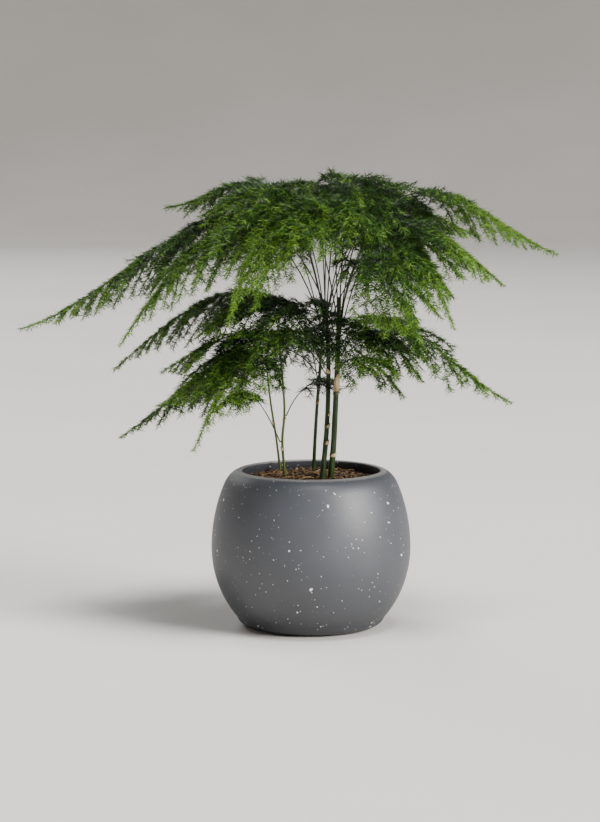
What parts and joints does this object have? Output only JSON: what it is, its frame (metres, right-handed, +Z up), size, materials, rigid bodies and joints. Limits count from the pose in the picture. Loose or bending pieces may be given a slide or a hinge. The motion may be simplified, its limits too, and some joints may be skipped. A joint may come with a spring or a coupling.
{
  "type": "potted asparagus fern",
  "caption": "Feathery asparagus fern whose arching fronds spread from slender green canes, growing in a round speckled stoneware pot.",
  "frame": {"origin": "centre of the pot's flat foot, on the surface it stands on", "axes": "+Z up along the pot's axis, +X to the right and +Y to the back for someone facing the plant's front"},
  "size_m": [0.3189, 0.1857, 0.2703],
  "materials": {
    "stoneware": "satin slate grey with pale specks",
    "soil": "matte crumbly potting mix",
    "cane": "smooth green stem with papery scale leaves",
    "dry_stem": "dry and matte",
    "foliage": "soft satin green"
  },
  "bodies": {
    "root": {"pot": "stoneware", "soil": "soil", "cane_main": "cane", "cane_second": "cane", "cane_back": "cane", "thin_cane_front": "cane", "thin_cane_back": "cane", "dry_stem": "dry_stem", "crown_left_long_frond": "foliage", "crown_left_drooping_frond": "foliage", "crown_left_upper_frond": "foliage", "crown_left_high_frond": "foliage", "crown_right_long_frond": "foliage", "crown_right_frond": "foliage", "crown_right_low_frond": "foliage", "crown_right_upper_frond": "foliage", "crown_front_left_frond": "foliage", "crown_front_frond": "foliage", "crown_front_right_frond": "foliage", "crown_front_high_frond": "foliage", "crown_front_upper_frond": "foliage", "crown_comb_frond": "foliage", "crown_back_frond": "foliage", "crown_back_right_frond": "foliage", "crown_back_left_frond": "foliage", "crown_back_high_frond": "foliage", "crown_front_middle_left_frond": "foliage", "crown_front_middle_right_frond": "foliage", "crown_middle_back_frond": "foliage", "right_trailing_frond": "foliage", "middle_left_frond": "foliage", "middle_left_high_frond": "foliage", "middle_left_front_frond": "foliage", "middle_front_left_frond": "foliage", "middle_drooping_frond": "foliage", "middle_back_left_frond": "foliage", "middle_back_frond": "foliage", "middle_back_right_frond": "foliage", "middle_right_frond": "foliage", "middle_front_frond": "foliage", "middle_center_left_frond": "foliage", "middle_low_left_frond": "foliage", "lower_right_frond": "foliage", "lower_left_frond": "foliage", "lower_middle_frond": "foliage", "lower_back_left_frond": "foliage"}
  },
  "joints": []
}
